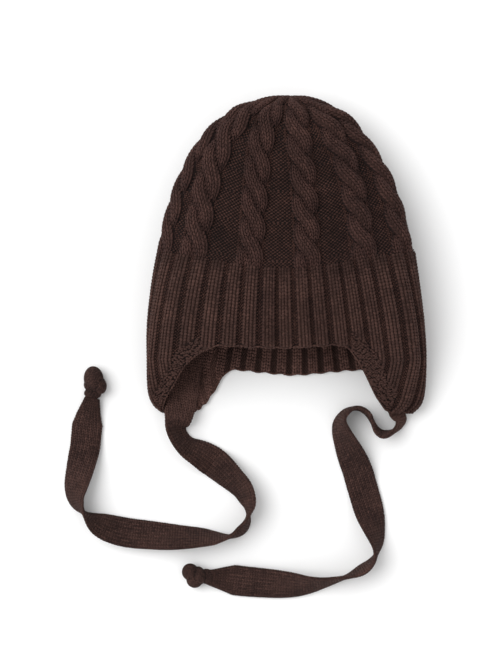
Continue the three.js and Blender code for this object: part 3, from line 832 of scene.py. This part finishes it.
def on_border(w):
    """1 on the two ear flaps' front edges, where a bumpy border runs along the rim."""
    w = from_front(w)
    return sum(
        np.clip((w - begins) / BORDER_FADE, 0, 1) * np.clip((ends - w) / BORDER_FADE, 0, 1)
        for begins, ends in (LEFT_BORDER, RIGHT_BORDER)
    )


def border_width(w):
    w = from_front(w)
    wider = RIGHT_BORDER_WIDER * ramp(w, *RIGHT_BORDER_WIDENS)
    return np.where(w > 0, BORDER_WIDTH + wider, BORDER_WIDTH)


def finished_rim(lengths):
    """The rim with its front lifted, and pushed down a little by each rib."""
    lifted = lengths - RIM_LIFT * (1 - ramp(np.abs(from_front(chart_w)), *RIM_LIFT_ENDS))
    top = chart_w
    for _ in range(8):
        top = chart_w - fanned(top, lifted)
    scallops = np.cos(2 * np.pi * rib_number(top)) * (1 - on_border(chart_w))
    return lifted + SCALLOP * scallops


rim_lengths = finished_rim(rim_lengths)


# CROWN
CROWN_HEIGHT = 118
CABLE_FOOT = 8.0
GROUND_FOOT = 3.5
CROWN_INNER = -0.8
CROWN_GROUND = 0.8
CABLE_HALF = 8.7
# Each cable is a rope of lobes, which lie over each other by turns
STRAND_HALF = 4.9
STRAND_SWING = 4.4
STRAND_CROSSING = 0.62
STRAND_RISE = 4.4
LOBE_PITCH = 18.7
LOBE_LENGTH = 36
LOBE_FOOT = 13.9
LOBES = range(-2, 7)
CREASE_REACH = 0.7
CREASE_DEPTH = 2.0
# How high the lower strand is where a crease is at its full depth
CREASE_FULL_AT = 1.2
# Near the top the cables take up this share of a repeat each, and no more
CROWDED = 0.47
# How much flatter the cables are where they turn round to the underside
SIDE_FLATTENING = 0.55
CABLES = (np.arange(REPEATS) + 0.5) * REPEAT_WIDTH - HALF_ROUND
CABLE_SHIFT = np.array([0, 0, 15, 0, 0, 0, 0, -10, 0, 0])
CABLE_WIDENING = np.array([1, 1, 1.15, 1.12, 1, 1, 1, 1.1, 1, 1])
GROUND_WIDTH = REPEAT_WIDTH - 2 * CABLE_HALF


def repeat_scale(row, w, step=4):
    """How many mm wide one mm of w is at a row. It shrinks towards the gathered top."""
    row = np.maximum(row, 0.3)
    gap = sample(places, row, w + step) - sample(places, row, w - step)
    return np.linalg.norm(gap, axis=-1) / (2 * step)


def cable_number(cable):
    return np.mod(np.round((cable - CABLES[0]) / REPEAT_WIDTH), REPEATS).astype(int)


def cable_middle(cable):
    """The two cables at the sides lie a little nearer to the front."""
    return cable + CABLE_SHIFT[cable_number(cable)]


def cable_spread(cable, share):
    """Half width of a cable in w, and how crowded it is, at a share down the crown."""
    scale = repeat_scale(crown_row(cable, share), cable)
    own = CABLE_HALF * CABLE_WIDENING[cable_number(cable)]
    half = np.minimum(own / scale, CROWDED * REPEAT_WIDTH)
    return half, np.minimum(half * scale / CABLE_HALF, 1), scale


def ground_gap(cable, share):
    """How far it is in w over the ground, from a cable to the next one."""
    both = cable_spread(cable, share)[0] + cable_spread(cable + REPEAT_WIDTH, share)[0]
    shift = cable_middle(cable + REPEAT_WIDTH) - cable_middle(cable)
    return np.maximum(shift - both, 0.5)


def crown_w(cable, across, share):
    """w of a place that is across mm from a cable's middle. Past its edge comes the ground."""
    half, crowding, _ = cable_spread(cable, share)
    ground = np.maximum(across - CABLE_HALF, 0) / GROUND_WIDTH * ground_gap(cable, share)
    on_cable = np.clip(across / CABLE_HALF, -1, 1)
    return cable_middle(cable) + on_cable * half + ground, crowding


def crown_share(along):
    """How far down the crown a place is, from its height over the band. It stops at the top."""
    return np.clip(1 - along / CROWN_HEIGHT, 0.004, 1)


def crown_point(cable, across, along, height, sink=STITCH_SINK):
    """A place of the crown's knitting. Its foot turns into the band's ribs."""
    share = crown_share(along)
    w, crowding = crown_w(cable, across, share)
    side = np.abs(sample(outward, crown_row(w, share), w)[..., 0])
    own = height(across, along) * crowding * (1 - SIDE_FLATTENING * side ** 3) + CROWN_GROUND
    reach = np.where(across > CABLE_HALF, GROUND_FOOT, CABLE_FOOT)
    foot = ramp(1 - along / reach, 0, 1)
    rib = rib_profile(rib_number(w)) + BAND_HALF_WALL - sink
    return fabric(crown_row(w, share), w, own * (1 - foot) + rib * foot)


def strand_taper(share):
    return np.maximum(np.sin(np.pi * np.clip(share, 0, 1)), 0.02) ** 0.4 * 1.04


def strand_axis(share):
    """Where a strand's middle is, across the cable. It crosses over in the middle of a lobe."""
    turn = np.clip((share - 0.5) / STRAND_CROSSING + 0.5, 0, 1)
    return STRAND_SWING * np.cos(np.pi * turn)


def strand_slope(share):
    return (strand_axis(share + 0.01) - strand_axis(share - 0.01)) / (0.02 * LOBE_LENGTH)


def strand_half(share):
    """Half width of a strand across the cable. A slanting strand takes more of it."""
    return STRAND_HALF * strand_taper(share) * np.sqrt(1 + strand_slope(share) ** 2)


def lobe_height(lobe, across, along):
    share = (along - LOBE_FOOT - lobe * LOBE_PITCH) / LOBE_LENGTH
    inside = (share > 0) & (share < 1)
    share = np.clip(share, 0, 1)
    off = (across - strand_axis(share)) / strand_half(share)
    rise = STRAND_RISE * np.sin(np.pi * share) ** 0.7
    return np.where(inside, rise * np.maximum(1 - off * off, 0) ** 0.5, 0)


def cable_height(across, along):
    """The upper of the strands, with a crease where one goes under another."""
    heights = np.sort([lobe_height(lobe, across, along) for lobe in LOBES], axis=0)
    top, second = heights[-1], heights[-2]
    deep = np.clip(second / CREASE_FULL_AT, 0, 1)
    crease = np.exp(-((top - second) / CREASE_REACH) ** 2) * deep
    return top - CREASE_DEPTH * crease


CROWN_BASE_SINK = 0.6
# Painted shade on the fabric under the stitches: darkest in the hollows, and lighter by the
# cables' height
HOLLOW_SHADE_TONE = -3
CABLE_TONE_START = -5
CABLE_TONE_SLOPE = 3
CABLE_CUTS = 26
GROUND_CUTS = 8
CROWN_BASE_ROWS = 106
CROWN_LINING_ROWS = 16


def make_crown():
    """The knitted fabric under the crown's stitches, outer face and lining side in one."""
    stops = np.concatenate([
        np.linspace(-CABLE_HALF, CABLE_HALF, CABLE_CUTS),
        CABLE_HALF + GROUND_WIDTH * np.arange(1, GROUND_CUTS) / GROUND_CUTS,
    ])
    across = np.tile(stops, REPEATS)
    cable = np.repeat(CABLES, len(stops))
    rings, tones = [fabric(0.0, FRONT_MIDDLE, CROWN_GROUND)[None, :]], [[0]]
    for share in np.linspace(0, 1, CROWN_BASE_ROWS + 1)[1:]:
        along = np.full(len(across), (1 - share) * CROWN_HEIGHT)
        rings.append(crown_point(
            cable, across, along, lambda a, b: cable_height(a, b) - CROWN_BASE_SINK,
            CROWN_BASE_SINK,
        ))
        # Painted shade: darker in the hollows, lighter by the cables' height
        tone = cable_height(across, along) * CABLE_TONE_SLOPE + CABLE_TONE_START
        tones.append(np.clip(tone, HOLLOW_SHADE_TONE, STRAND_TONE))
    for share in np.linspace(1, 0, CROWN_LINING_ROWS + 1)[:-1]:
        w, _ = crown_w(cable, across, np.full(len(across), share))
        rings.append(fabric(crown_row(w, np.full(len(w), share)), w, np.full(len(w), CROWN_INNER)))
        tones.append(np.zeros(len(w)))
    rings.append(fabric(0.0, FRONT_MIDDLE, CROWN_INNER - 1)[None, :])
    tones.append([0])
    crown = ring_piece("crown_fabric", rings, np.concatenate(tones))
    dress(crown, DEEP_SHADE_YARN, "cable_knit", "crown")


ROW_PITCH = 2.15
STEP = 0.5
LEG_LEAN = math.radians(20)
CABLE_LEGS = (np.arange(6) - 2.5) / 3
CABLE_LEG = (1.5, 0.74, 0.72)
# A strand's stitches stop where it is less than this above its neighbour
CREASE_GAP = 0.8
# and carry painted shade where they go down into a crease or to the cable's edge
CREASE_SHADE = 4.5
SHADE_ENDS = (2.4, 2.6)


def make_cable_stitches():
    """The strands' stitches: three columns of V on each lobe, where that lobe lies on top."""
    rows = np.arange(ROW_PITCH / 2, CROWN_HEIGHT - 2, ROW_PITCH)
    found = []
    for lobe in LOBES:
        for cable in CABLES:
            for index, leg in enumerate(CABLE_LEGS):
                share = (rows - LOBE_FOOT - lobe * LOBE_PITCH) / LOBE_LENGTH
                on = np.abs(share - 0.5) < 0.47
                along, share = rows[on], share[on]
                across = strand_axis(share) + leg * strand_half(share)
                own = lobe_height(lobe, across, along)
                others = np.max([lobe_height(k, across, along) for k in LOBES if k != lobe], axis=0)
                seen = own >= others + CREASE_GAP * np.clip(others / CREASE_FULL_AT, 0, 1)
                # Painted shade near a crease and near the cable's edge
                clear = np.minimum((own - others) / SHADE_ENDS[0], own / SHADE_ENDS[1])
                shade = -CREASE_SHADE * (1 - np.clip(clear, 0, 1))
                side = np.full(len(along), 1.0 if index % 2 else -1.0)
                here = np.stack([
                    across, along, strand_slope(share), strand_taper(share), shade, side,
                ], 1)[seen]
                found.append(np.hstack([np.tile([lobe, cable], (len(here), 1)), here]))
    lobe, cable, across, along, slope, taper, shade, side = np.concatenate(found).T

    def height(a, b):
        own = np.zeros_like(a)
        for k in LOBES:
            mine = lobe == k
            own[mine] = lobe_height(k, a[mine], b[mine])
        return own - STITCH_SINK

    def at(da, db):
        return crown_point(cable, across + da, along + db, height)

    sideways = unit(at(STEP, 0) - at(-STEP, 0))
    upwards = (at(slope * STEP, STEP) - at(-slope * STEP, -STEP)) / (2 * STEP)
    sizes = np.tile(CABLE_LEG, (len(side), 1))
    sizes[:, 1] *= np.clip(taper, 0.45, 1)
    legs = lay_legs("crown_cables", at(0, 0), sideways, upwards, side, sizes, 22, LEG, shade)
    dress(legs, CABLE_YARN, "cable_knit")


def lay_legs(name, centres, sideways, upwards, side, size, seed, shape, lift):
    """Legs of V stitches, leaning out to their own side as they go up."""
    stretch = np.linalg.norm(upwards, axis=1)
    upwards = unit(upwards)
    out = unit(np.cross(sideways, upwards))
    leg = unit(upwards * math.cos(LEG_LEAN) + sideways * (side * math.sin(LEG_LEAN))[:, None])
    sizes = np.array(np.broadcast_to(size, (len(centres), 3)))
    sizes[:, 0] *= np.clip(stretch, 0.75, 1.3)
    across = unit(np.cross(leg, out))
    return sow(name, shape, centres, leg, across, out, sizes, seed, lift=lift)


PURL_PITCH = 2.7
PURL = (1.02, 0.56, 0.62)
PURL_HEIGHT = -0.25
# How far the ground's stitches run under the cables beside it
PURL_OVERLAP = 1.2
# The ground that shows beside the strands: pitch, the cable's height it shows under, and where
# along the crown it stops
FILL_PITCH = 1.9
FILL_BELOW = 0.9
FILL_END = CROWN_HEIGHT - 12


def make_ground_stitches():
    """Purl ground between the cables: rows of small bars, each row half a stitch across."""
    found = []
    half_rows = np.arange(ROW_PITCH / 4, CROWN_HEIGHT - 3, ROW_PITCH / 2)
    shares = crown_share(half_rows)
    middle = CABLE_HALF + GROUND_WIDTH / 2
    for cable in CABLES:
        starts = np.full(len(half_rows), cable)
        widths = ground_gap(starts, shares) * cable_spread(starts, shares)[2]
        for k, (width, along) in enumerate(zip(widths, half_rows)):
            real = width + 2 * PURL_OVERLAP
            count = int(real / PURL_PITCH)
            if count < 1:
                continue
            shift = 0.25 if k % 2 else -0.25
            pitch = GROUND_WIDTH * (real - PURL_OVERLAP) / max(width, PURL_OVERLAP) / count
            for step in np.arange(count) - (count - 1) / 2 + shift:
                found.append((cable, middle + step * pitch, along))
    between = np.array(found).T
    across = between[1]
    between = between[:, (across > CABLE_HALF - PURL_OVERLAP)
                      & (across < CABLE_HALF + GROUND_WIDTH + PURL_OVERLAP)]
    # More of it shows beside the strands, where they swing to the cable's other side
    beside = np.stack(spread(
        CABLES, np.arange(-CABLE_HALF + 0.9, CABLE_HALF, FILL_PITCH),
        np.arange(ROW_PITCH / 4, FILL_END, ROW_PITCH / 2),
    ))
    beside[1] += np.where(np.round(beside[2] / ROW_PITCH * 2) % 2, 0.3, -0.3)
    beside = beside[:, cable_height(beside[1], beside[2]) < FILL_BELOW]
    cable, across, along = np.hstack([between, beside])

    def at(da, db):
        return crown_point(
            cable, across + da, along + db, lambda a, b: np.full_like(a, PURL_HEIGHT)
        )

    sideways = unit(at(STEP, 0) - at(-STEP, 0))
    upwards = unit(at(0, STEP) - at(0, -STEP))
    out = unit(np.cross(sideways, upwards))
    bars = sow("crown_ground", BUMP, at(0, 0), sideways, upwards, out, PURL, 21, curl=0.5)
    dress(bars, GROUND_YARN, "cable_knit")


make_crown()
make_cable_stitches()
make_ground_stitches()

# BAND AND EAR FLAPS
BORDER_RISE = 0.35
# Near the rim the ribs get flatter: from how far off, and down to what share
EDGE_REACH = 1.6
EDGE_SHARE = 0.35
# From where to where in w the lining side is nearly flat in the flaps, and how flat
FLAP_ENDS = (150, 166)
FLAP_FLATTENING = 0.75


def rim_distance(w, length):
    """How far inside the rim a place is, square to the rim."""
    slope = (rim_length(w + 1) - rim_length(w - 1)) / 2
    return (rim_length(w) - length) / np.sqrt(1 + slope * slope)


def border_share(w, length):
    """1 where an ear flap's bumpy border is, 0 on the ribs, and between where they meet."""
    distance = rim_distance(w, length)
    return on_border(w) * np.clip((border_width(w) - distance) / 3 + 0.5, 0, 1)


def edge_share(w, length):
    return EDGE_SHARE + (1 - EDGE_SHARE) * np.clip(rim_distance(w, length) / EDGE_REACH, 0, 1)


def outer_height(q, length):
    w = band_w(q, length)
    plain = border_share(w, length)
    relief = rib_profile(q) * (1 - plain) + BORDER_RISE * plain
    return relief * edge_share(w, length) + BAND_HALF_WALL


def in_flap(w):
    """1 inside the ear flaps, and 0 at the back."""
    return 1 - ramp(np.abs(from_front(w)), *FLAP_ENDS)


def inner_height(q, length):
    w = band_w(q, length)
    relief = rib_profile(q + 0.5) * (1 - FLAP_FLATTENING * in_flap(w))
    return -(relief * edge_share(w, length) + BAND_HALF_WALL)


def rim_at(q):
    """Length below the crown's foot at which a column of ribbing meets the rim."""
    length = 60
    for _ in range(5):
        length = rim_length(band_w(q, length))
    return length


BAND_RIB_CUTS = 10
BAND_BASE_ROWS = 56
BAND_LINING_ROWS = 24
# Painted shade on the fabric under the stitches: its tones in the hollows and on the ribs, and how
# they grow
RIB_TONES = (HOLLOW_SHADE_TONE, 6)
RIB_TONE_SLOPE = 6
BORDER_TONE = -1.5


def make_band():
    """The knitted fabric under the band's stitches, outer face and lining side in one."""
    count = RIB_COUNT * BAND_RIB_CUTS
    q = np.arange(count) / BAND_RIB_CUTS
    rim = rim_at(q)
    rings, tones = [], []
    for share in np.linspace(0, 1, BAND_BASE_ROWS + 1):
        w = band_w(q, share * rim)
        height = outer_height(q, share * rim) - BAND_SINK
        rings.append(fabric(band_row(w, share * rim), w, height))
        rib_tone = np.clip(rib_profile(q) * RIB_TONE_SLOPE + 1, *RIB_TONES)
        tones.append(rib_tone + (BORDER_TONE - rib_tone) * border_share(w, share * rim))
    for share in np.linspace(1, 0, BAND_LINING_ROWS + 1):
        w = band_w(q, share * rim)
        height = inner_height(q, share * rim) + BAND_SINK
        rings.append(fabric(band_row(w, share * rim), w, height))
        # On the lining side: painted shade in the hollows, and none in the ear flaps, where that
        # side is nearly flat
        rib_tone = np.clip(rib_profile(q + 0.5) * RIB_TONE_SLOPE, *RIB_TONES)
        tones.append(np.maximum(rib_tone, RIB_TONES[1] * in_flap(w)))
    row, k = spread(np.arange(len(rings)), np.arange(count))
    here, below = row * count, (row + 1) % len(rings) * count
    following = (k + 1) % count
    quads = np.stack([here + k, below + k, below + following, here + following], 1)
    band = mesh_piece("band_fabric", np.concatenate(rings), [quads], np.concatenate(tones))
    dress(band, DEEP_SHADE_YARN, "rib_knit", "ribbed_band")


def band_frames(q, length, height):
    def at(dq, dl):
        w = band_w(q + dq, length + dl)
        return fabric(band_row(w, length + dl), w, height(q + dq, length + dl))

    sideways = unit(at(STEP / RIB_PITCH, 0) - at(-STEP / RIB_PITCH, 0))
    upwards = (at(0, -STEP) - at(0, STEP)) / (2 * STEP)
    return at(0, 0), sideways, upwards


RIB_LEG = (1.45, 0.84, 0.8)
RIB_PURL = (0.72, 0.56, 0.6)
BORDER_PURL = (0.94, 0.58, 1.0)
# Stitches keep this far from the rim, outside and inside
RIM_GAP = 1.4
INNER_GAP = 0.4
# Deeper inside the hat than this, the bare fabric does
INNER_REACH = 34
BORDER_PITCH = 1.9
# How many mm of border one rib number spans there
BORDER_RIB = 12
JITTER = 0.4


def lay_columns(numbers, lengths):
    """Places down columns of stitches: q, length, and each place's column and row number."""
    column, row = spread(np.arange(len(numbers)), np.arange(len(lengths)))
    return numbers[column], lengths[row], column, row


def inside_rim(q, length, gap=RIM_GAP):
    return rim_distance(band_w(q, length), length) > gap


def on_zone(q, length):
    """True where the bumpy border of an ear flap is, and not the ribs."""
    w = band_w(q, length)
    return (on_border(w) > 0.5) & (rim_distance(w, length) < border_width(w))


def on_face(q, length, sign, border):
    """Where a face's stitches are laid. sign is 1 on the outer face and -1 on the inner one."""
    w = band_w(q, length)
    seen = inside_rim(q, length, RIM_GAP if sign > 0 else INNER_GAP)
    seen &= (sign > 0) | (rim_distance(w, length) < INNER_REACH)
    return seen & ~(border & on_zone(q, length))


def sow_band(name, height, sign, q, length, size, seed, kind, side=None, lift=0.0):
    """Stitches on one face of the band: V legs where a side is given, and bars otherwise."""
    centres, sideways, upwards = band_frames(
        q, length, lambda a, b: height(a, b) - sign * STITCH_SINK
    )
    if sign < 0:
        sideways = -sideways
    sizes = np.tile(size, (len(q), 1)).astype(float)
    sizes[:, 0 if side is None else 1] *= rib_scale(q)
    if side is not None:
        return lay_legs(name, centres, sideways, upwards, sign * side, sizes, seed, kind, lift)
    upwards = unit(upwards)
    out = unit(np.cross(sideways, upwards))
    return sow(name, kind, centres, sideways, upwards, out, sizes, seed, curl=0.4, lift=lift)


lengths_down = np.arange(ROW_PITCH / 2, BAND_REACH, ROW_PITCH)
half_lengths_down = np.arange(ROW_PITCH / 4, BAND_REACH, ROW_PITCH / 2)


def make_face(prefix, height, sign, shift, border, leg, columns, purls, materials, seed):
    """One face of the band: its ribs of V stitches, and the purl hollows between them."""
    middles = np.arange(RIB_COUNT) + shift
    q, length, column, row = lay_columns(
        (middles[:, None] + columns[None, :] / RIB_PITCH).ravel(), lengths_down
    )
    keep = on_face(q, length, sign, border)
    side = np.where(column % 2, 1.0, -1.0)[keep]
    lift = RIB_START_SHADE * (1 - ramp(length[keep], 0, RIB_START))
    legs = sow_band(
        f"{prefix}_ribs", height, sign, q[keep], length[keep], RIB_LEG, seed, leg, side, lift
    )
    dress(legs, materials[0], "rib_knit")
    q, length, column, row = lay_columns(
        (middles[:, None] + 0.5 + purls[None, :] / RIB_PITCH).ravel(), half_lengths_down
    )
    q = q + np.where(row % 2, 0.04, -0.04)
    keep = on_face(q, length, sign, border)
    # Painted shade in the lining side's hollows, outside the ear flaps
    lift = 0 if sign > 0 else HOLLOW_SHADE * (1 - in_flap(band_w(q, length)[keep]))
    bars = sow_band(
        f"{prefix}_hollows", height, sign, q[keep], length[keep], RIB_PURL, seed + 1, BUMP, lift=lift
    )
    dress(bars, materials[1], "rib_knit")


def make_borders():
    """The front edges of the ear flaps: purl bumps in a loose brick pattern."""
    scatter = np.random.default_rng(33)
    first = rib_number(LEFT_BORDER[0] - 1.0) - RIB_COUNT
    last = rib_number(RIGHT_BORDER[1] + 1.0)
    q, length, _, row = lay_columns(
        np.arange(first, last, BORDER_PITCH / BORDER_RIB), half_lengths_down
    )
    half_pitch = BORDER_PITCH / 2 / BORDER_RIB
    q = q + np.where(row % 2, half_pitch, 0) + scatter.normal(0, JITTER / BORDER_RIB, len(q))
    length = length + scatter.normal(0, JITTER, len(q))
    keep = inside_rim(q, length, RIM_GAP * 0.7) & on_zone(q, length)
    bumps = sow_band(
        "flap_borders", outer_height, 1, q[keep], length[keep], BORDER_PURL, 34, BUMP
    )
    dress(bumps, RIB_YARN, "rib_knit")


CHAIN_PITCH = 2.6
CHAIN_LOOP = (1.5, 0.6, 0.65)
# The chain's three rows: [height, how far inside the rim, shift in loops, tone]. Their tones
# are a painted highlight along the rim.
CHAIN_ROWS = [(1.0, 0.35, 0.0, 1.5), (-0.1, 0.15, 0.5, 4.0), (-1.1, 0.35, 0.0, 4.5)]


def make_rim_chain():
    """The cast-off chain along the whole rim: a row of loops on each side, and one between."""
    fine = np.linspace(-HALF_ROUND, HALF_ROUND, 4201)
    edge = fabric(band_row(fine, rim_length(fine)), fine, np.zeros(len(fine)))
    run = np.concatenate([[0], np.cumsum(np.linalg.norm(np.diff(edge, axis=0), axis=1))])
    count = int(run[-1] / CHAIN_PITCH)
    found = []
    for height, drop, shift, _ in CHAIN_ROWS:
        w = np.interp((np.arange(count) + 0.5 + shift) / count * run[-1], run, fine)

        def at(dw, dl=0.0):
            v = w + dw
            length = rim_length(v) - drop + dl
            return fabric(band_row(v, length), v, np.full(len(v), height))

        tangent = unit(at(0.5) - at(-0.5))
        down = unit(at(0) - at(0, -1.5))
        skin = sample(outward, band_row(w, rim_length(w)), w)
        out = unit(skin * height + down * 0.8)
        across = unit(np.cross(out, tangent))
        leg = unit(tangent + across * 0.2)
        found.append((at(0) + down * 0.2, leg, unit(np.cross(leg, out)), out))
    centres, leg, across, out = (np.concatenate(part) for part in zip(*found))
    # A painted highlight along the rim, by row
    lift = np.repeat([row[-1] for row in CHAIN_ROWS], count)
    chain = sow("rim_chain", LEG, centres, leg, across, out, CHAIN_LOOP, 41, lift=lift)
    dress(chain, RIB_YARN, "rib_knit")


make_band()
make_face(
    "band", outer_height, 1, 0, True, LEG, RIB_COLUMNS, PURL_COLUMNS, (RIB_YARN, GROUND_YARN), 31
)
make_face(
    "inside", inner_height, -1, 0.5, False, SHORT_LEG, INNER_COLUMNS, INNER_PURLS,
    (INNER_LIT_YARN, INNER_LIT_YARN), 35
)
make_borders()
make_rim_chain()

# FLOOR AND LIGHT
FLOOR_SIZE = 6
FLOOR_DROP = 0.05
FLOOR_SHADE = 0.9
WORLD_STRENGTH = 0.8
LIGHT_POWER = 2.1
LIGHT_ANGLE = 50
LIGHT_HEIGHT = 53
# Turned from a light that comes from -Y, so that it comes from -X and a little +Y
LIGHT_TURN = -115


def make_floor():
    bpy.ops.mesh.primitive_plane_add(size=FLOOR_SIZE, location=(0, 0, -FLOOR_DROP * MM))
    floor = bpy.context.object
    floor.name = "floor"
    material = bpy.data.materials.new("pale_floor")
    material.use_nodes = True
    shader = material.node_tree.nodes["Principled BSDF"]
    shader.inputs["Base Color"].default_value = (FLOOR_SHADE, FLOOR_SHADE, FLOOR_SHADE, 1)
    shader.inputs["Roughness"].default_value = 0.9
    floor.data.materials.append(material)


def make_light():
    world = bpy.data.worlds.new("studio")
    bpy.context.scene.world = world
    world.use_nodes = True
    background = world.node_tree.nodes["Background"]
    background.inputs["Color"].default_value = (1, 1, 1, 1)
    background.inputs["Strength"].default_value = WORLD_STRENGTH
    data = bpy.data.lights.new("soft_light", "SUN")
    data.energy = LIGHT_POWER
    data.angle = math.radians(LIGHT_ANGLE)
    light = bpy.data.objects.new("soft_light", data)
    light.location = (-1, 0.5, 1)
    light.rotation_euler = (math.radians(90 - LIGHT_HEIGHT), 0, math.radians(LIGHT_TURN))
    bpy.context.scene.collection.objects.link(light)


bpy.context.scene.view_settings.view_transform = "Standard"
make_floor()
make_light()
